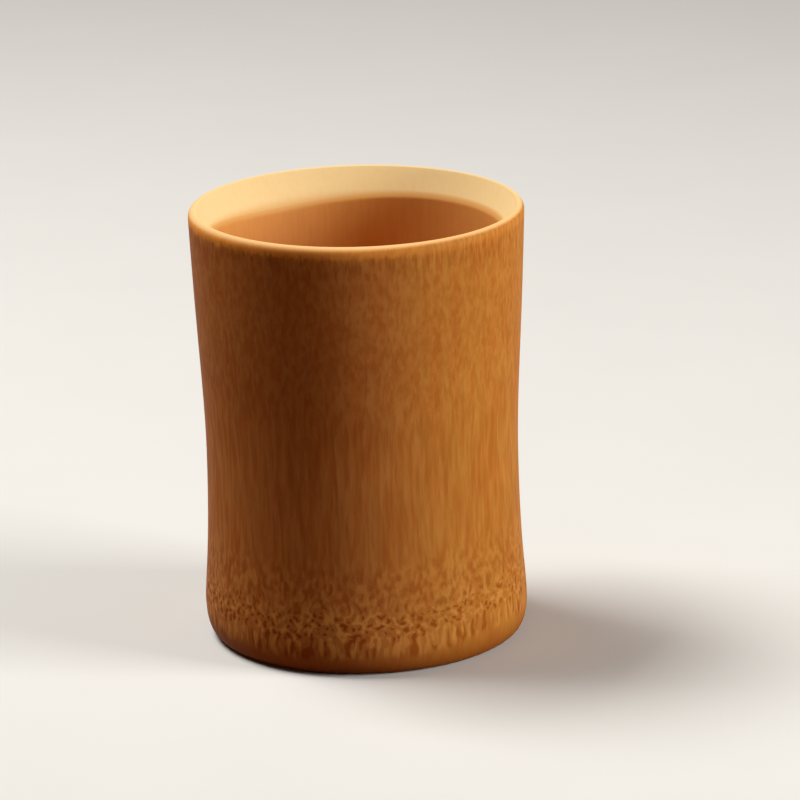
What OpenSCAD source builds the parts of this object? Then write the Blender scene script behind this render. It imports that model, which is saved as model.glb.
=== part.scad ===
// Bamboo cup, cut from one length of culm just below a node and turned to a waisted outline.
// The node closes the culm, so its cross wall is the cup's floor and the stub under it is the foot.
// Millimetres, +Z up. The origin is the middle of the foot, on the surface that the cup stands on.

/* [Outside] */
// Height from the foot to the top of the lip
cup_h = 92.5; // [80:0.5:120]
// Outer diameter at the lip
rim_d = 70; // [69:0.5:76]
// How far the waist, the narrowest place, is drawn in from the lip, on one side
waist_in = 2.15; // [1:0.05:2.5]
// Height of the waist above the foot
waist_h = 40; // [30:1:55]
// How far the swelling at the foot lies inside the lip, on one side
foot_in = 0.9; // [0:0.05:1.5]
// Height of the widest place of the swelling
foot_h = 7.5; // [5:0.5:12]
// Radius of the rounded outer edge of the foot
foot_round = 3.8; // [1.5:0.1:4.5]

/* [Lip] */
// Radius of the rounded lip
lip_round = 1; // [0.5:0.1:1.3]
// Depth below the lip at which the inner bevel meets the bore
bevel_depth = 5.6; // [4:0.1:10]

/* [Bore] */
// Thickness of the wall from the lip's outside to the bore at the foot of the bevel
rim_wall = 4.7; // [4:0.1:5.5]
// Thickness of the wall from the swelling's outside to the bore just above the floor
foot_wall = 5.6; // [5:0.1:8]
// How far the hollow of the culm lies off the turned outside
bore_shift = 0.35; // [0:0.05:0.5]
// Height of the floor's edge above the foot
floor_h = 12; // [10:0.5:18]
// Radius of the rounded corner between bore and floor
floor_round = 5; // [3:0.5:8]
// How far the floor sags in the middle
floor_dish = 0.8; // [0:0.1:1.5]

/* [Pith lining] */
// Thickness of the brown inner layer that lines the bore and the floor
pith_t = 0.5; // [0.4:0.05:0.8]

/* [Node] */
// Thickness of the cross wall that closes the culm
node_t = 3.3; // [2:0.1:5]
// How deep the cross wall is rooted in the culm wall
root_depth = 1.5; // [0.8:0.1:1.8]

/* [Foot] */
// Thickness of the foot ring, from the swelling's outside to the hollow under the floor
ring_wall = 7.1; // [6.5:0.1:10]
// Broken edge between the hollow and the ring that the cup stands on
recess_ease = 0.8; // [0.2:0.1:1]

/* [Hidden] */

$fn = 96;

// Steps of a rounded edge, of the outline's two long curves and of the sagging floor
arc_steps = 8;
outline_steps = 14;
bow_steps = 6;

// How steeply the outline spreads from the waist to the foot
foot_curve_share = 2.2;

// Overrun of a cut past the face that it opens
cut = 1;

// Outer radii, and the radii of the hollows that the walls leave
rim_r = rim_d / 2;
waist_r = rim_r - waist_in;
foot_r = rim_r - foot_in;
bore_r = rim_r - rim_wall;
bore_floor_r = foot_r - foot_wall;
recess_r = foot_r - ring_wall;

// The bevel is the line from its meeting with the bore that touches the round of the lip
shoulder_h = cup_h - lip_round;
bevel_h = cup_h - bevel_depth;
lip_x = rim_wall - lip_round;
lip_z = bevel_depth - lip_round;
bevel_a = atan2(lip_x, lip_z) - asin(lip_round / norm([lip_x, lip_z]));

// The bevel runs on inwards past the bore's wall, where the bore takes it away
bevel_run = bore_shift + cut;
bevel_end_r = bore_r - bevel_run;
bevel_end_h = bevel_h - bevel_run / tan(bevel_a);

// The bore widens evenly from the rounded corner at the floor to the foot of the bevel
corner_h = floor_h + floor_round;
bore_slope = (bore_r - bore_floor_r) / (bevel_h - corner_h);
mouth_h = cup_h + cut;

// The cross wall: its underside at the edge, and its outer radius in the culm wall
node_base = floor_h - pith_t - node_t;
root_r = bore_floor_r + pith_t + root_depth;

// Point number i of an arc of radius r about [x, z], from angle a to angle b
function arc_point(x, z, r, a, b, i) =
    let (turn = a + (b - a) * i / arc_steps)
    [x + r * cos(turn), z + r * sin(turn)];

// All points of such an arc, or all after the first where it goes on from another
function arc(x, z, r, a, b, first = 0) = [for (i = [first:arc_steps]) arc_point(x, z, r, a, b, i)];

// Radius of the outline below the waist, at share s of the way down to the swelling
function below_waist(s) = waist_r + (foot_r - waist_r) * pow(s, foot_curve_share);

// Radius of the outline above the waist, at share s of the way up to the lip, upright at both ends
function above_waist(s) = waist_r + (rim_r - waist_r) * s * s * (3 - 2 * s);

// How far the floor has sagged at radius x, out of a span that holds it at its edge
function sag(x, span) = floor_dish * (1 - pow(x / span, 2));

// Points of a sagging floor at height z, from the middle out to its edge
function floor_line(z, span) =
    [for (i = [0:bow_steps]) [span * i / bow_steps, z - sag(span * i / bow_steps, span)]];

// Points of the bore's mouth, widened by t and run on past the lip
function mouth(t) = [[bore_r + t + bore_slope * (mouth_h - bevel_h), mouth_h], [0, mouth_h]];

// The turned culm as a solid: foot, swelling, waist, lip and the bevel down to past the bore's wall
module blank() {
    rotate_extrude()
        polygon(concat(
            [[0, 0]],
            arc(foot_r - foot_round, foot_round, foot_round, -90, 0),
            [for (i = [0:outline_steps - 1])
                [below_waist(1 - i / outline_steps), foot_h + (waist_h - foot_h) * i / outline_steps]],
            [for (i = [0:outline_steps - 1])
                [above_waist(i / outline_steps), waist_h + (shoulder_h - waist_h) * i / outline_steps]],
            arc(rim_r - lip_round, shoulder_h, lip_round, 0, 90),
            arc(rim_r - lip_round, shoulder_h, lip_round, 90, 180 - bevel_a, 1),
            [[bevel_end_r, bevel_end_h], [0, bevel_end_h]]
        ));
}

// Lays a piece that follows the hollow of the culm off the turned outside
module in_hollow() {
    translate([bore_shift, 0, 0])
        children();
}

// The hollow above the node, widened all over by t
module hollow(t) {
    corner_x = bore_floor_r - floor_round;
    in_hollow()
        rotate_extrude()
            polygon(concat(
                floor_line(floor_h - t, corner_x),
                arc(corner_x, corner_h, floor_round + t, -90, 0),
                mouth(t)
            ));
}

// All that is hollow in the wall: the stub under the node, the cross wall's root and the lined bore
module wall_hollow() {
    in_hollow()
        rotate_extrude()
            polygon(concat(
                [[0, -cut], [recess_r + recess_ease, -cut], [recess_r + recess_ease, 0]],
                [[recess_r, recess_ease], [recess_r, node_base], [root_r, node_base]],
                [[root_r, corner_h], [bore_floor_r + pith_t, corner_h]],
                mouth(pith_t)
            ));
}

// The culm's wall, turned outside, with the place that the cross wall is rooted in
module culm_wall() {
    color("peru")
        difference() {
            blank();
            wall_hollow();
        }
}

// The node's cross wall: an evenly thick, slightly sagging plate that turns up into the wall
module node_floor() {
    color("burlywood")
        difference() {
            in_hollow()
                rotate_extrude()
                    polygon(concat(
                        floor_line(node_base, recess_r),
                        [[root_r, node_base], [root_r, corner_h], [0, corner_h]]
                    ));
            hollow(pith_t);
        }
}

// The brown pith layer inside the culm, from the floor up to the edge where the bevel cuts it
module pith_lining() {
    color("sienna")
        difference() {
            intersection() {
                blank();
                hollow(pith_t);
            }
            hollow(0);
        }
}

culm_wall();
node_floor();
pith_lining();
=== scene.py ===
# A bamboo cup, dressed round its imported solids: the turned culm wall, the node's cross wall that
# closes it, and the brown pith that lines it.
import math

import bpy
from mathutils import Matrix, Vector, noise


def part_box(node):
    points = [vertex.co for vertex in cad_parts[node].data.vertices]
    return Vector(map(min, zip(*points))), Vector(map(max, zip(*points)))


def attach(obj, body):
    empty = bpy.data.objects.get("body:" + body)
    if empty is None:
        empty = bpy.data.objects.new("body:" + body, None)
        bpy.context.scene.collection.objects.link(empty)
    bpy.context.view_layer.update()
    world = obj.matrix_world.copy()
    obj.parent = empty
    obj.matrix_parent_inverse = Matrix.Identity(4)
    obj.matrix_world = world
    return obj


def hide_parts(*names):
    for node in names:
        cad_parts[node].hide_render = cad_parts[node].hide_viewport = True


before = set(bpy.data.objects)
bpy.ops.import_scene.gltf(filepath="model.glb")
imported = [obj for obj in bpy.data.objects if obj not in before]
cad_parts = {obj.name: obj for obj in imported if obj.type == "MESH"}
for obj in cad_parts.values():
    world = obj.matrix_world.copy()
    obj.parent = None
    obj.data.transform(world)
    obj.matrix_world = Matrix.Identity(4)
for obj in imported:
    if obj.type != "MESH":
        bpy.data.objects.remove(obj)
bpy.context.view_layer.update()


# The culm wall. The real one is a length of carbonised bamboo culm, turned on a lathe to a waisted
# outline, with the stub under the node left as a foot. Its lip is rounded and bevelled inside, down
# to the pale flesh, and the outside is sanded fine and given a thin satin lacquer.
mm = 0.001
inside_cad = 0.002 * mm
wall_low, wall_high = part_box("culm_wall")
cup_h = wall_high.z
rim_r = min(-wall_low.x, wall_high.y) - inside_cad
waist_in = 2.15 * mm
waist_h = 40 * mm
foot_in = 0.9 * mm
foot_h = 7.5 * mm
foot_round = 3.75 * mm
foot_square = 2.6
foot_lean = 0.22 * mm
lip_in = 1.35 * mm
lip_drop = 1.6 * mm
lip_square = 2.4
lip_round = 0.4 * mm
bevel_depth = 5.95 * mm
rim_wall = 4.7 * mm
foot_wall = 5.6 * mm
ring_wall = 7.1 * mm
ring_ease = 0.8 * mm
node_base = 8.2 * mm
hollow_off = 0.35 * mm
pith_t = 0.5 * mm

waist_r = rim_r - waist_in
foot_r = rim_r - foot_in
shoulder_h = cup_h - lip_drop
bevel_h = cup_h - bevel_depth
bore_r = rim_r - rim_wall
bore_floor_r = foot_r - foot_wall
recess_r = foot_r - ring_wall
root_low, root_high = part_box("node_floor")
root_r = (root_high.y - root_low.y) / 2
corner_h = root_high.z

# The bevel is the line from the pith's edge that touches the round inside the lip
lip_x = rim_wall - lip_in
lip_z = bevel_depth - lip_round
bevel_a = math.atan2(lip_x, lip_z) - math.asin(lip_round / math.hypot(lip_x, lip_z))
bevel_top_r = rim_r - lip_in - lip_round * math.cos(bevel_a)
bevel_top_h = cup_h - lip_round + lip_round * math.sin(bevel_a)
bevel_low_r = bore_r + pith_t


def bevel_at(r):
    """Height of the bevel at a distance from the turning axis."""
    return bevel_top_h - (bevel_top_r - r) / math.tan(bevel_a)


def arc(x, z, r, start, end, steps, off=0.0):
    """Rings round a turned rounding of radius r about (x, z), after its first, angles in degrees."""
    turns = [math.radians(start + (end - start) * i / steps) for i in range(1, steps + 1)]
    return [(x + r * math.cos(turn), z + r * math.sin(turn), off) for turn in turns]


def straight(start, end, steps):
    """Rings evenly spaced between two rings, after the first."""
    return [
        tuple(a + (b - a) * i / steps for a, b in zip(start, end))
        for i in range(1, steps + 1)
    ]


# Sides of every ring: enough for the lip to look round from close by
sides = 288


def mark_grown(off):
    """Puts the newest ring in the group of what grew so, or takes it out if it was turned."""
    if off == hollow_off:
        bpy.ops.object.vertex_group_assign()
    else:
        bpy.ops.object.vertex_group_remove_from()


def draw_rings(name, rings):
    """Draws a piece ring by ring, each (radius, height, off-axis), and marks what grew so."""
    (r, z, off), later = rings[0], rings[1:]
    bpy.ops.object.select_all(action="DESELECT")
    bpy.ops.mesh.primitive_circle_add(vertices=sides, radius=r, location=(off, 0, z))
    piece = bpy.context.object
    piece.name = piece.data.name = name
    bpy.ops.object.transform_apply(location=True, rotation=True, scale=True)
    bpy.ops.object.mode_set(mode="EDIT")
    bpy.ops.mesh.select_mode(type="EDGE")
    bpy.ops.mesh.select_all(action="SELECT")
    bpy.ops.object.vertex_group_add()
    mark_grown(off)
    for next_r, next_z, next_off in later:
        bpy.ops.mesh.extrude_edges_move(
            TRANSFORM_OT_translate={"value": (next_off - off, 0, next_z - z)}
        )
        grow = next_r / r
        bpy.ops.transform.resize(value=(grow, grow, 1), center_override=(next_off, 0, next_z))
        mark_grown(next_off)
        r, z, off = next_r, next_z, next_off
    return piece


def close_ends():
    """Closes a piece that starts and ends in a small ring on its axis."""
    bpy.ops.mesh.merge(type="CENTER")
    bpy.ops.mesh.select_all(action="DESELECT")
    bpy.ops.mesh.select_non_manifold()
    bpy.ops.mesh.merge(type="CENTER")


# How often, how far and from which turn the hollow swells round its mouth
mouth_waves = ((1, 0.465 * mm, 243), (2, 0.205 * mm, 107), (3, 0.178 * mm, 157), (4, 0.08 * mm, -12))
# How far it wanders lower down, how quickly round, over which height, and from where in the noise
lower_swells = ((0.3 * mm, 0.9, 40 * mm, (3.1, 1.7)), (0.2 * mm, 2.7, 16 * mm, (7.3, 0.4)))
lower_from = 15 * mm


def grown_off(x, y, z):
    """How far the culm's own hollow stands off a true round at a place."""
    turn = math.atan2(y, x)
    facing = Vector((math.cos(turn), math.sin(turn), 0))
    at_mouth = sum(far * math.cos(often * turn - math.radians(start)) for often, far, start in mouth_waves)
    lower = sum(
        far * noise.noise(facing * quick + Vector((*start, z / rise)))
        for far, quick, rise, start in lower_swells
    )
    return at_mouth + lower * min(1, max(0, (bevel_h - z) / lower_from))


# The lip was sanded a little lower at the front, over the last few millimetres of the wall
lip_fall = 0.6 * mm
fall_from = 80 * mm
fall_over = 6 * mm


def sanded_off(place):
    """How far the wall was sanded down at a place, most at the front of the lip."""
    near_lip = min(1, max(0, (place.z - fall_from) / fall_over))
    return lip_fall * near_lip * (1 - place.y / rim_r) / 2


# How far below the bevel the hollow still follows the line in which the bevel cuts it
follow_depth = 14 * mm
on_axis = 0.1 * mm


def stand_as_grown(place):
    """Moves a place on the hollow side out to where the culm grew, and up or down the bevel with it."""
    out = Vector((place.x - hollow_off, place.y, 0))
    if out.length < on_axis:
        return
    place += out.normalized() * grown_off(*place) * min(1, out.length / recess_r)
    near_bevel = min(1, 1 + (place.z - bevel_h) / follow_depth)
    if near_bevel > 0:
        rise = (math.hypot(place.x, place.y) - out.length) / math.tan(bevel_a)
        place.z += rise * near_bevel * near_bevel * (3 - 2 * near_bevel)


merge_within = 0.005 * mm
sharp_from = math.radians(20)


def finish_mesh(piece):
    """Merges the piece, lets its hollow side stand as it grew, and shades it smooth."""
    bpy.ops.mesh.select_all(action="SELECT")
    bpy.ops.mesh.remove_doubles(threshold=merge_within)
    bpy.ops.mesh.normals_make_consistent(inside=False)
    bpy.ops.object.mode_set(mode="OBJECT")
    heights = piece.data.attributes.new("turned_height", "FLOAT", "POINT")
    for vertex in piece.data.vertices:
        heights.data[vertex.index].value = vertex.co.z / mm
        vertex.co.z -= sanded_off(vertex.co)
        if vertex.groups:
            stand_as_grown(vertex.co)
    bpy.ops.object.shade_smooth_by_angle(angle=sharp_from)


def foot_ring(turn):
    """A ring of the foot's worn rounding, which leans a little to the right of the turned round."""
    soft = 2 / foot_square
    z = foot_h * (1 - math.sin(turn) ** soft)
    return foot_r - foot_round + foot_round * math.cos(turn) ** soft, z, foot_lean * (1 - z / foot_h)


# How steeply the outline leaves the swelling, and the share of the way up over which it holds its width
swell_steep = 2.2
swell_hold = 0.15


def low_ring(t):
    """A ring of the long curve from the swelling at the foot, t = 0, to the waist, t = 1."""
    hold = 1 + swell_steep * t * math.exp(-t / swell_hold)
    r = waist_r + (foot_r - waist_r) * (1 - t) ** swell_steep * hold
    return r, foot_h + (waist_h - foot_h) * t, 0.0


# How much of the square, the cube and the fourth power of the way up the flare to the lip takes
flare = (3.5, -3.9, 1.4)


def high_ring(t):
    """A ring of the curve that flares from the waist, t = 0, to the lip, t = 1."""
    spread = sum(much * t**power for power, much in enumerate(flare, start=2))
    return waist_r + (rim_r - waist_r) * spread, waist_h + (shoulder_h - waist_h) * t, 0.0


def lip_ring(turn):
    """A ring of the lip's slope, which falls from its crest to the outside."""
    soft = 2 / lip_square
    across = rim_r - lip_in * (1 - max(0, math.cos(turn)) ** soft)
    return across, shoulder_h + lip_drop * math.sin(turn) ** soft, 0.0


foot_steps = 24
low_steps = 36
high_steps = 50
lip_steps = 12
crest_steps = 6
bevel_steps = 6
recess_steps = 6
ring_steps = 3
quarter = math.pi / 2

turned_side = (
    [foot_ring(quarter * (1 - i / foot_steps)) for i in range(foot_steps)]
    + [low_ring(i / low_steps) for i in range(low_steps)]
    + [high_ring(i / high_steps) for i in range(high_steps + 1)]
    + [lip_ring(quarter * i / lip_steps) for i in range(1, lip_steps + 1)]
    + arc(rim_r - lip_in, cup_h - lip_round, lip_round, 90, 180 - math.degrees(bevel_a), crest_steps)
)
bevel_top = (bevel_top_r, bevel_top_h, 0.0)
bevel_low = (bevel_low_r, bevel_at(bevel_low_r), hollow_off)
bevel_side = [(r, bevel_at(r), 0.0) for r, _, _ in straight(bevel_top, bevel_low, bevel_steps)[:-1]]

recess_top = (recess_r, node_base, hollow_off)
recess_low = (recess_r, ring_ease, hollow_off)
ring_in = (recess_r + ring_ease, 0.0, foot_lean)
ring_out = (foot_r - foot_round, 0.0, foot_lean)

culm = draw_rings(
    "culm_wall_turned",
    [recess_top]
    + straight(recess_top, recess_low, recess_steps)
    + [(recess_r + ring_ease, 0.0, hollow_off)]
    + straight(ring_in, ring_out, ring_steps)[:-1]
    + turned_side
    + bevel_side
    + [
        bevel_low,
        (bore_floor_r + pith_t, corner_h, hollow_off),
        (root_r, corner_h, hollow_off),
        (root_r, node_base, hollow_off),
        recess_top,
    ],
)
finish_mesh(culm)


def wire(tree, socket, feed):
    """Feeds a socket from another node, or sets it."""
    if isinstance(feed, bpy.types.NodeSocket):
        tree.links.new(feed, socket)
    else:
        socket.default_value = feed


def wire_named(tree, node, **feeds):
    """Feeds the sockets of a node by their names, with _ for a space."""
    for name, feed in feeds.items():
        wire(tree, node.inputs[name.replace("_", " ")], feed)


def calc(tree, operation, *feeds):
    """A sum on numbers."""
    node = tree.nodes.new("ShaderNodeMath")
    node.operation = operation
    for socket, feed in zip(node.inputs, feeds):
        wire(tree, socket, feed)
    return node.outputs[0]


def calc_place(tree, operation, *feeds, scale=None):
    """A sum on places, given back as a place."""
    node = tree.nodes.new("ShaderNodeVectorMath")
    node.operation = operation
    for socket, feed in zip(node.inputs, feeds):
        wire(tree, socket, feed)
    if scale is not None:
        wire(tree, node.inputs["Scale"], scale)
    return node.outputs["Value" if operation in ("LENGTH", "DOT_PRODUCT") else "Vector"]


def fade(tree, feed, start, end, low=0.0, high=1.0):
    """Goes softly from low to high while the feed goes from start to end."""
    node = tree.nodes.new("ShaderNodeMapRange")
    node.interpolation_type = "SMOOTHSTEP"
    wire_named(tree, node, Value=feed, From_Min=start, From_Max=end, To_Min=low, To_Max=high)
    return node.outputs["Result"]


def blend_tone(tree, share, tone, other, how="MIX"):
    """Lays the other tone over a tone by a share."""
    node = tree.nodes.new("ShaderNodeMix")
    node.data_type = "RGBA"
    node.blend_type = how
    wire(tree, node.inputs[0], share)
    for socket, feed in ((node.inputs[6], tone), (node.inputs[7], other)):
        wire(tree, socket, feed if isinstance(feed, bpy.types.NodeSocket) else (*feed, 1.0))
    return node.outputs[2]


def drift(tree, place, size, detail=2.0, rough=0.5, colour=False):
    """Smooth unevenness about a half, of features about size across."""
    node = tree.nodes.new("ShaderNodeTexNoise")
    wire_named(tree, node, Vector=place, Scale=1 / size, Detail=detail, Roughness=rough)
    return node.outputs["Color" if colour else "Fac"]


def fibre_cells(tree, place, size):
    """Distance from the middle of the nearest fibre bundle, in shares of size."""
    node = tree.nodes.new("ShaderNodeTexVoronoi")
    wire_named(tree, node, Vector=place, Scale=1 / size, Randomness=0.95)
    return node.outputs["Distance"]


def split(tree, place):
    """A place's three numbers."""
    node = tree.nodes.new("ShaderNodeSeparateXYZ")
    wire(tree, node.inputs[0], place)
    return node.outputs


def new_finish(name):
    """An empty material: its tree, its shader, and the place on the cup in millimetres."""
    finish = bpy.data.materials.new(name)
    finish.use_nodes = True
    tree = finish.node_tree
    shader = tree.nodes["Principled BSDF"]
    where = tree.nodes.new("ShaderNodeTexCoord").outputs["Object"]
    return finish, tree, shader, calc_place(tree, "SCALE", where, scale=1 / mm)


def turned_height(tree):
    """The height in millimetres that a place had before it was sanded or let stand as it grew."""
    node = tree.nodes.new("ShaderNodeAttribute")
    node.attribute_name = "turned_height"
    return node.outputs["Fac"]


def raise_relief(tree, shader, height, strength, depth):
    """Lets the finish stand in low relief, by a height of up to a depth."""
    bump = tree.nodes.new("ShaderNodeBump")
    bump.inputs["Strength"].default_value = strength
    bump.inputs["Distance"].default_value = depth
    wire(tree, bump.inputs["Height"], height)
    wire(tree, shader.inputs["Normal"], bump.outputs[0])


# The finishes count in millimetres on the cup. Four numbers of a fade say from where to where it goes,
# and from how much to how much; two say only from where to where.
no_height = (1, 1, 0)
# The node: the height it wanders up from, how far up it wanders, how soon it turns in shares of the
# cup's radius, and how far it rises to the right and to the back
node_h = 10.6
node_wander = 5.0
node_turns = 0.28
node_rise = (1.1, 2.1, 0.0)
# How far the cut face passes on among the bundles as it goes up: a little everywhere, more in the
# upper wall, and most about the node, in spans that say from where above it, to where and how far
passing = 0.12
passing_above = (50, 98, 0, 11)
across_spans = ((-9.0, -3.0, 0.3), (-3.6, 3.2, 3.9), (-1.0, 15.0, 4.6))
# How the bundles wander over the wall, and how far they tangle about the node and from mid height up
wander_squeeze = (0.25, 0.25, 0.05)
wander_far = (1.6, 1.6, 0)
tangle_size = 3.4
tangle_by_node = (1.5, 9.0, 2.2, 0)
tangle_above = (50, 70, 0, 0.8)
middle = (0.5, 0.5, 0.5)


def among_fibres(tree, place):
    """Where each point of a cut face lies among the culm's fibre bundles, and how far above the node."""
    height = split(tree, place)["Z"]
    flat = calc_place(tree, "MULTIPLY", place, no_height)
    facing = calc_place(tree, "NORMALIZE", flat)
    rise = calc_place(tree, "DOT_PRODUCT", facing, node_rise)
    uneven = calc(tree, "MULTIPLY_ADD", drift(tree, facing, node_turns, 1.0), node_wander, node_h)
    above_node = calc(tree, "SUBTRACT", height, calc(tree, "ADD", rise, uneven))
    lift = calc(tree, "MULTIPLY_ADD", above_node, passing, fade(tree, height, *passing_above))
    for start, end, far in across_spans:
        lift = calc(tree, "ADD", lift, fade(tree, above_node, start, end, 0, far))
    among = calc_place(tree, "ADD", flat, calc_place(tree, "SCALE", (0, 0, 1), scale=lift))
    wander = drift(tree, calc_place(tree, "MULTIPLY", place, wander_squeeze), 1.0, 1.0, colour=True)
    among = calc_place(tree, "MULTIPLY_ADD", wander, wander_far, among)
    near_node = fade(tree, calc(tree, "ABSOLUTE", above_node), *tangle_by_node)
    loose = calc(tree, "ADD", near_node, fade(tree, height, *tangle_above))
    tangle = calc_place(tree, "SUBTRACT", drift(tree, place, tangle_size, 1.0, colour=True), middle)
    among = calc_place(tree, "ADD", among, calc_place(tree, "SCALE", tangle, scale=loose))
    return among, height, above_node


finish, tree, shader, place = new_finish("culm_satin")
among, height, above_node = among_fibres(tree, place)
turned = turned_height(tree)
flat = calc_place(tree, "MULTIPLY", place, no_height)
radius = calc_place(tree, "LENGTH", flat)
facing = calc_place(tree, "NORMALIZE", flat)
front_right = (0.86, -0.5, 0.0)
to_back = split(tree, facing)["Y"]
to_right = calc_place(tree, "DOT_PRODUCT", facing, front_right)

# How far a place lies off the nearest bundle, as a weave of soft cells with streaks in it
bundle_size = 1.4
bundle_share = 0.5
weave_size = 1.0
weave_share = 1.6
weave_level = -0.75
streak_size = 0.8
streak_share = 0.4
streak = drift(tree, among, streak_size, 2.0, 0.6)
weave = calc(tree, "MULTIPLY_ADD", drift(tree, among, weave_size, 0.0), weave_share, weave_level)
weave = calc(tree, "MULTIPLY_ADD", streak, streak_share, weave)
off_bundle = calc(tree, "MULTIPLY_ADD", fibre_cells(tree, among, bundle_size), bundle_share, weave)

# At the node the bundles turn out through the wall, and the cut shows their dark ends in a pale net
bend_size = 1.6
bend_far = (1.3, 1.3, 1.3)
net_size = 1.3
net_share = 1.4
net_level = -0.22
net_about_node = (1.5, 4.5, 0.62, 0)
under_net = (-4.5, -2.5, 0.07, 0)
dark_bundle = (0.22, 0.45, 1, 0)
pale_between = (0.54, 0.80)
bent = calc_place(tree, "MULTIPLY_ADD", drift(tree, place, bend_size, 1.0, colour=True), bend_far, place)
net = calc(tree, "MULTIPLY_ADD", fibre_cells(tree, bent, net_size), net_share, net_level)
at_node = fade(tree, calc(tree, "ABSOLUTE", above_node), *net_about_node)
net = calc(tree, "MULTIPLY", calc(tree, "SUBTRACT", net, off_bundle), at_node)
off_bundle = calc(tree, "ADD", off_bundle, net)
off_bundle = calc(tree, "ADD", off_bundle, fade(tree, above_node, *under_net))
bundle = fade(tree, off_bundle, *dark_bundle)
between = fade(tree, off_bundle, *pale_between)

# How boldly the bundles show: most where the node lays them across, least on the sanded foot
bold_fingers = (-7.8, -6.2, 0.08, 0.80)
bold_net = (-4.0, -2.0, 0, 0.19)
calm_above_net = (0.0, 5.5, 1.0, 0.45)
calm_wall = (6.0, 16.0, 1.0, 0.45)
bold_under_lip = (83, 90, 0, 0.14)
calm_right = (0.3, 0.9, 1.0, 0.74)
bold = calc(tree, "ADD", fade(tree, above_node, *bold_fingers), fade(tree, above_node, *bold_net))
bold = calc(tree, "MULTIPLY", bold, fade(tree, above_node, *calm_above_net))
bold = calc(tree, "MULTIPLY", bold, fade(tree, above_node, *calm_wall))
bold = calc(tree, "ADD", bold, fade(tree, height, *bold_under_lip))
bold = calc(tree, "MULTIPLY", bold, fade(tree, to_right, *calm_right))

# Steaming browned the culm unevenly in blushes. Its tone is also painted redder on its shaded left than on
# its lit right, and darker high on the left, as painted shade
honey_shaded_left = (0.53, 0.195, 0.046)
honey_lit_right = (0.56, 0.231, 0.038)
blushed = (0.50, 0.128, 0.016)
fibre = (0.30, 0.060, 0.003)
glow = (0.77, 0.340, 0.082)
honey_shade_turns = (0.5, 0.95)
blush_size = 2.6
blush_drawn = (1, 1, 0.22)
blush_spots = (0.40, 0.66, 0.0, 0.36)
fine_size = 0.25
fine_drawn = (1, 1, 0.5)
fine_dark = (0.3, 0.7, 0.10, 0.0)
streak_dark = (0.30, 0.60, 0.15, 0.0)
streak_pale = (0.5, 0.75, 0.0, 0.10)
patch_size = 16.0
patch_dark = (0.3, 0.7, 0.0, 0.14)
shade_left_side = (0.3, 0.8, 1, 0)
shade_high_span = (43, 60, 0.0, 0.20)
fine = drift(tree, calc_place(tree, "MULTIPLY", among, fine_drawn), fine_size, 2.0, 0.6)
patch = drift(tree, place, patch_size, 2.0)
blush = drift(tree, calc_place(tree, "MULTIPLY", place, blush_drawn), blush_size, 1.0)
# Painted shade and light: the culm's tone is redder and darker on the shaded left, lighter on the lit
# right
tone = blend_tone(tree, fade(tree, to_right, *honey_shade_turns), honey_shaded_left, honey_lit_right)
tone = blend_tone(tree, fade(tree, blush, *blush_spots), tone, blushed)
tone = blend_tone(tree, calc(tree, "MULTIPLY", between, bold), tone, glow)
tone = blend_tone(tree, calc(tree, "MULTIPLY", bundle, bold), tone, fibre)
tone = blend_tone(tree, fade(tree, streak, *streak_dark), tone, fibre)
tone = blend_tone(tree, fade(tree, streak, *streak_pale), tone, glow)
tone = blend_tone(tree, fade(tree, fine, *fine_dark), tone, fibre)
tone = blend_tone(tree, fade(tree, patch, *patch_dark), tone, fibre)
# Painted shade: the upper wall is darkened on the shaded left side
painted_shade_high_left = calc(tree, "MULTIPLY", fade(tree, to_right, *shade_left_side), fade(tree, height, *shade_high_span))
tone = blend_tone(tree, painted_shade_high_left, tone, fibre)

# The lip's slope is cut through the browned skin: golden brown at a ragged edge, paler up to the crest
skin_edge = (0.64, 0.225, 0.035)
slope_painted_light_left = (0.97, 0.37, 0.065)
slope_painted_shade_right = (0.66, 0.270, 0.050)
slope_shade_turns = (0.45, 0.95)
ragged_far = 2.2
skin_cut = (88.6, 90.8, 0, 0.6)
slope_cut = (89.6, 91.2)
ragged = calc(tree, "MULTIPLY_ADD", calc(tree, "SUBTRACT", streak, 0.5), ragged_far, turned)
# Painted light and shade: the slope is paler on the left, where less lamp light falls, and darker on the
# key-lit right
on_right = fade(tree, to_right, *slope_shade_turns)
slope_tone = blend_tone(tree, on_right, slope_painted_light_left, slope_painted_shade_right)
tone = blend_tone(tree, fade(tree, ragged, *skin_cut), tone, skin_edge)
tone = blend_tone(tree, fade(tree, ragged, *slope_cut), tone, slope_tone)

# Bundles run up the slope to the crest as darker upright streaks, fainter on the left
streak_brown = (0.74, 0.54, 0.36)
upright_size = 0.62
upright_drawn = (1, 1, 0.12)
upright_spots = (0.34, 0.60, 1, 0)
upright_above = (83, 90, 0.0, 0.50)
fainter_left = 0.55
upright_streak = drift(tree, calc_place(tree, "MULTIPLY", place, upright_drawn), upright_size, 1.0)
under_lip = fade(tree, turned, *upright_above)
streaked = calc(tree, "MULTIPLY", fade(tree, upright_streak, *upright_spots), under_lip)
streaked = calc(tree, "MULTIPLY", streaked, fade(tree, on_right, 0, 1, fainter_left, 1))
tone = blend_tone(tree, streaked, tone, streak_brown, how="MULTIPLY")

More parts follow.
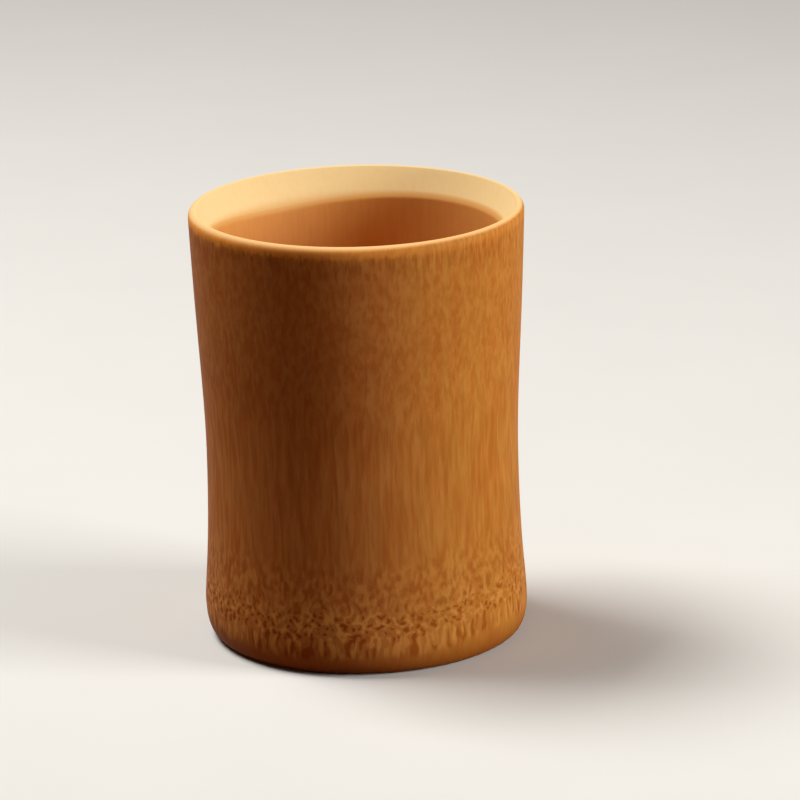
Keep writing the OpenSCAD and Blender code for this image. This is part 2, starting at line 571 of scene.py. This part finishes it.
# Bare flesh on the crest and down the bevel, golden where the bevel nears the pith
lip_front = (0.97, 0.565, 0.242)
lip_back = (0.90, 0.62, 0.29)
flesh = (0.97, 0.73, 0.37)
flesh_bundle = (0.86, 0.44, 0.13)
golden = (0.80, 0.42, 0.12)
flesh_bundle_share = 0.06
by_pith = (87.0, 88.2)
lip_turns = (-0.9, 0.1)
crest = (91.5, 92.35)
crest_right = -0.3
hollow_side = (33.1, 33.6, 1, 0)
bevel_above = (80, 84)
lip_tone = blend_tone(tree, fade(tree, to_back, *lip_turns), lip_front, lip_back)
on_lip = fade(tree, calc(tree, "MULTIPLY_ADD", on_right, crest_right, turned), *crest)
tone = blend_tone(tree, on_lip, tone, lip_tone)
flesh_tone = blend_tone(tree, calc(tree, "MULTIPLY", bundle, flesh_bundle_share), flesh, flesh_bundle)
flesh_tone = blend_tone(tree, fade(tree, turned, *by_pith), golden, flesh_tone)
inside = calc(tree, "MULTIPLY", fade(tree, radius, *hollow_side), fade(tree, height, *bevel_above))
tone = blend_tone(tree, inside, tone, flesh_tone)
bare = calc(tree, "MAXIMUM", on_lip, inside)

# The rounded foot is painted darker towards the floor, as painted shade, and its flat shows the cut ends
# of the bundles
foot_painted_shade = (0.27, 0.060, 0.006)
end_flesh = (0.62, 0.32, 0.10)
end_fibre = (0.24, 0.075, 0.012)
end_size = 0.9
end_spots = (0.15, 0.40, 1, 0)
foot_shade_span = (0.5, 7.0, 0.7, 0)
foot_flat = (0.06, 0.4, 1, 0)
# Painted shade: the foot's rounding darkens towards the floor
tone = blend_tone(tree, fade(tree, height, *foot_shade_span), tone, foot_painted_shade)
cut_end = fade(tree, fibre_cells(tree, flat, end_size), *end_spots)
end_grain = blend_tone(tree, cut_end, end_flesh, end_fibre)
tone = blend_tone(tree, fade(tree, height, *foot_flat), tone, end_grain)

# Thin satin lacquer outside, mat where the flesh is bare, over bundles that sanding left a little low
satin_rough = 0.52
fine_rough = 0.10
bare_rough = 0.15
bundle_low = -0.6
bare_even = 0.7
wire(tree, shader.inputs["Base Color"], tone)
shader.inputs["Specular IOR Level"].default_value = 0.05
rough = calc(tree, "MULTIPLY_ADD", fine, fine_rough, satin_rough)
wire(tree, shader.inputs["Roughness"], calc(tree, "MULTIPLY_ADD", bare, bare_rough, rough))
relief = calc(tree, "MULTIPLY_ADD", bundle, bundle_low, fine)
kept_relief = calc(tree, "SUBTRACT", 1.0, calc(tree, "MULTIPLY", bare, bare_even))
relief = calc(tree, "MULTIPLY", relief, kept_relief)
raise_relief(tree, shader, relief, strength=0.25, depth=0.05 * mm)
culm.data.materials.append(finish)
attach(culm, "root")
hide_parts("culm_wall")


# The node's cross wall. The real one is the culm's own partition, grown in one with the wall: a
# plate a few millimetres thick that sags a little and turns up into the wall all round.
floor_round = 5 * mm
floor_h = corner_h - floor_round
floor_dish = 0.8 * mm
corner_r = bore_floor_r - floor_round
pole_r = 0.4 * mm
corner_steps = 8
lined_steps = 8
under_steps = 22


def sagged(z, span, steps, inwards=False):
    """Rings of a sagging floor whose edge is at height z and radius span, from its pole out."""
    shares = [pole_r / span] + [i / steps for i in range(1, steps + 1)]
    rings = [(span * s, z - floor_dish * (1 - s * s), hollow_off) for s in shares]
    return rings[::-1] if inwards else rings


cross_wall = draw_rings(
    "node_cross_wall",
    sagged(node_base, recess_r, under_steps)
    + [
        (root_r, node_base, hollow_off),
        (root_r, corner_h, hollow_off),
        (bore_floor_r + pith_t, corner_h, hollow_off),
    ]
    + arc(corner_r, corner_h, floor_round + pith_t, 0, -90, corner_steps, hollow_off)
    + sagged(floor_h - pith_t, corner_r, lined_steps, inwards=True)[1:],
)
close_ends()
finish_mesh(cross_wall)

# Bare, mat and tangled, in clouds of paler and browner flesh that darken towards the wall
pale_flesh = (0.74, 0.44, 0.17)
brown_flesh = (0.62, 0.33, 0.11)
thread_brown = (0.36, 0.145, 0.030)
edge_brown = (0.38, 0.160, 0.035)
turns_size = 6.0
turns_far = (5.0, 5.0, 0)
thread_size = 0.9
thread_drawn = (1.0, 0.22, 1.0)
thread_spots = (0.32, 0.60, 0.45, 0.0)
cloud_size = 7.0
towards_wall = (19.0, 27.0)
edge_share = 0.55
finish, tree, shader, place = new_finish("node_flesh")
flat = calc_place(tree, "MULTIPLY", place, no_height)
turns = drift(tree, place, turns_size, 1.0, colour=True)
tangled = calc_place(tree, "MULTIPLY_ADD", turns, turns_far, flat)
thread = drift(tree, calc_place(tree, "MULTIPLY", tangled, thread_drawn), thread_size, 2.0, 0.6)
cloud = drift(tree, place, cloud_size, 2.0)
edge = fade(tree, calc_place(tree, "LENGTH", flat), *towards_wall)
tone = blend_tone(tree, cloud, brown_flesh, pale_flesh)
tone = blend_tone(tree, fade(tree, thread, *thread_spots), tone, thread_brown)
tone = blend_tone(tree, calc(tree, "MULTIPLY", edge, edge_share), tone, edge_brown)
wire(tree, shader.inputs["Base Color"], tone)
shader.inputs["Specular IOR Level"].default_value = 0.12
wire(tree, shader.inputs["Roughness"], calc(tree, "MULTIPLY_ADD", thread, 0.2, 0.6))
raise_relief(tree, shader, thread, strength=0.4, depth=0.12 * mm)
cross_wall.data.materials.append(finish)
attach(cross_wall, "root")
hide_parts("node_floor")


# The pith lining. The real one is the culm's soft brown inner skin, left as it grew from the bevel
# down over the cross wall, about half a millimetre thick and lacquered with the rest.
crease = 1.5 * mm
bore_lean = math.atan((bore_r - bore_floor_r) / (bevel_h - corner_h))
crease_reach = crease * math.tan((bevel_a - bore_lean) / 2)
crease_top = (
    bore_r + crease_reach * math.sin(bevel_a),
    bevel_h + crease_reach * math.cos(bevel_a),
    hollow_off,
)
crease_x = crease_top[0] + crease * math.cos(bevel_a)
crease_z = crease_top[1] - crease * math.sin(bevel_a)
from_bevel = 180 - math.degrees(bevel_a)
to_bore = 180 - math.degrees(bore_lean)
pith_edge_steps = 2
crease_steps = 5
bore_steps = 30
inner_corner_steps = 12
floor_steps = 24
bore_bend = arc(crease_x, crease_z, crease, from_bevel, to_bore, crease_steps, hollow_off)
pith = draw_rings(
    "pith_lining_grown",
    sagged(floor_h - pith_t, corner_r, lined_steps)
    + arc(corner_r, corner_h, floor_round + pith_t, -90, 0, corner_steps, hollow_off)
    + [bevel_low]
    + straight(bevel_low, crease_top, pith_edge_steps)
    + bore_bend
    + straight(bore_bend[-1], (bore_floor_r, corner_h, hollow_off), bore_steps)
    + arc(corner_r, corner_h, floor_round, 0, -90, inner_corner_steps, hollow_off)
    + sagged(floor_h, corner_r, floor_steps, inwards=True)[1:],
)
close_ends()
finish_mesh(pith)

# Brown with faint drawn-out streaks, golden and then flesh where the bevel cuts through its edge
pith_brown = (0.71, 0.318, 0.080)
pith_pale = (0.79, 0.362, 0.098)
pith_streak = (0.42, 0.125, 0.022)
pith_cloud_size = 9.0
pith_streak_size = 0.8
pith_drawn = (1, 1, 0.08)
pith_spots = (0.35, 0.65, 0.09, 0.0)
pith_edge = (85.8, 87.3)
finish, tree, shader, place = new_finish("pith_skin")
turned = turned_height(tree)
drawn = drift(tree, calc_place(tree, "MULTIPLY", place, pith_drawn), pith_streak_size, 3.0, 0.6)
tone = blend_tone(tree, drift(tree, place, pith_cloud_size, 2.0), pith_brown, pith_pale)
tone = blend_tone(tree, fade(tree, drawn, *pith_spots), tone, pith_streak)
tone = blend_tone(tree, fade(tree, turned, *pith_edge), tone, golden)
tone = blend_tone(tree, fade(tree, turned, *by_pith), tone, flesh)
wire(tree, shader.inputs["Base Color"], tone)
shader.inputs["Specular IOR Level"].default_value = 0.2
wire(tree, shader.inputs["Roughness"], calc(tree, "MULTIPLY_ADD", drawn, 0.15, 0.5))
raise_relief(tree, shader, drawn, strength=0.3, depth=0.1 * mm)
pith.data.materials.append(finish)
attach(pith, "root")
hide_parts("pith_lining")


# The floor that the cup stands on: plain and mat, with the cup's soft shadow on it. It is pale where
# it is seen, and throws a dimmer, warmer light back on the cup.
floor_wide = 6
floor_cool = (0.76, 0.755, 0.745)
floor_warm = (0.79, 0.785, 0.775)
floor_cloud_size = 40.0
thrown_back = (0.20, 0.105, 0.055)
bpy.ops.object.select_all(action="DESELECT")
bpy.ops.mesh.primitive_plane_add(size=floor_wide, location=(0, 0, 0))
ground = bpy.context.object
ground.name = "ground"
finish, tree, shader, place = new_finish("ground_pale")
rays = tree.nodes.new("ShaderNodeLightPath")
seen = calc(tree, "MAXIMUM", rays.outputs["Is Camera Ray"], rays.outputs["Is Glossy Ray"])
seen = calc(tree, "MAXIMUM", seen, rays.outputs["Is Transmission Ray"])
cloudy = blend_tone(tree, drift(tree, place, floor_cloud_size, 3.0), floor_cool, floor_warm)
wire(tree, shader.inputs["Base Color"], blend_tone(tree, seen, thrown_back, cloudy))
shader.inputs["Roughness"].default_value = 0.9
shader.inputs["Specular IOR Level"].default_value = 0.1
ground.data.materials.append(finish)


# The light: a wide soft lamp low on the right, another high on the left, and a dim warm room.
lamp_tint = (1.0, 0.98, 0.93)
lamp_aim = Vector((0, 0, 50 * mm))


def hang_lamp(name, place, wide, power):
    """A square soft lamp that faces the middle of the cup."""
    lamp = bpy.data.lights.new(name, "AREA")
    lamp.energy = power
    lamp.size = wide
    lamp.color = lamp_tint
    hung = bpy.data.objects.new(name, lamp)
    bpy.context.scene.collection.objects.link(hung)
    hung.rotation_mode = "QUATERNION"
    hung.location = place
    hung.rotation_quaternion = (lamp_aim - Vector(place)).to_track_quat("-Z", "Y")


hang_lamp("lamp_right", place=(0.945, -0.325, 0.39), wide=0.45, power=10.3)
hang_lamp("lamp_left_high", place=(-0.46, 0.21, 1.02), wide=0.5, power=12.4)
room = bpy.data.worlds.new("room")
room.use_nodes = True
room_light = room.node_tree.nodes["Background"]
room_light.inputs["Color"].default_value = (1.0, 0.72, 0.50, 1)
room_light.inputs["Strength"].default_value = 0.045
bpy.context.scene.world = room
bpy.context.scene.view_settings.view_transform = "Standard"


# The camera: where the photograph was taken from, about a metre in front of the cup and a quarter of a
# metre above its lip, as a pinhole camera fitted to the cup's outline has it.
camera_y = -995.5 * mm
camera_h = 342.3 * mm
camera_yaw = math.radians(0.47)
camera_pitch = math.radians(16.38)
camera_roll = math.radians(-1.42)
focus_px = 4934.6
frame_px = 800
sensor_mm = 36
ahead = Vector((
    math.sin(camera_yaw) * math.cos(camera_pitch),
    math.cos(camera_yaw) * math.cos(camera_pitch),
    -math.sin(camera_pitch),
))
level = Vector((math.cos(camera_yaw), -math.sin(camera_yaw), 0))
steep = level.cross(ahead)
across = math.cos(camera_roll) * level + math.sin(camera_roll) * steep
upwards = -math.sin(camera_roll) * level + math.cos(camera_roll) * steep
camera_data = bpy.data.cameras.new("camera")
camera_data.sensor_width = sensor_mm
camera_data.lens = focus_px / frame_px * sensor_mm
camera = bpy.data.objects.new("camera", camera_data)
bpy.context.scene.collection.objects.link(camera)
camera.matrix_world = Matrix.Translation((0, camera_y, camera_h)) @ Matrix(
    (across, upwards, -ahead)
).transposed().to_4x4()
bpy.context.scene.camera = camera
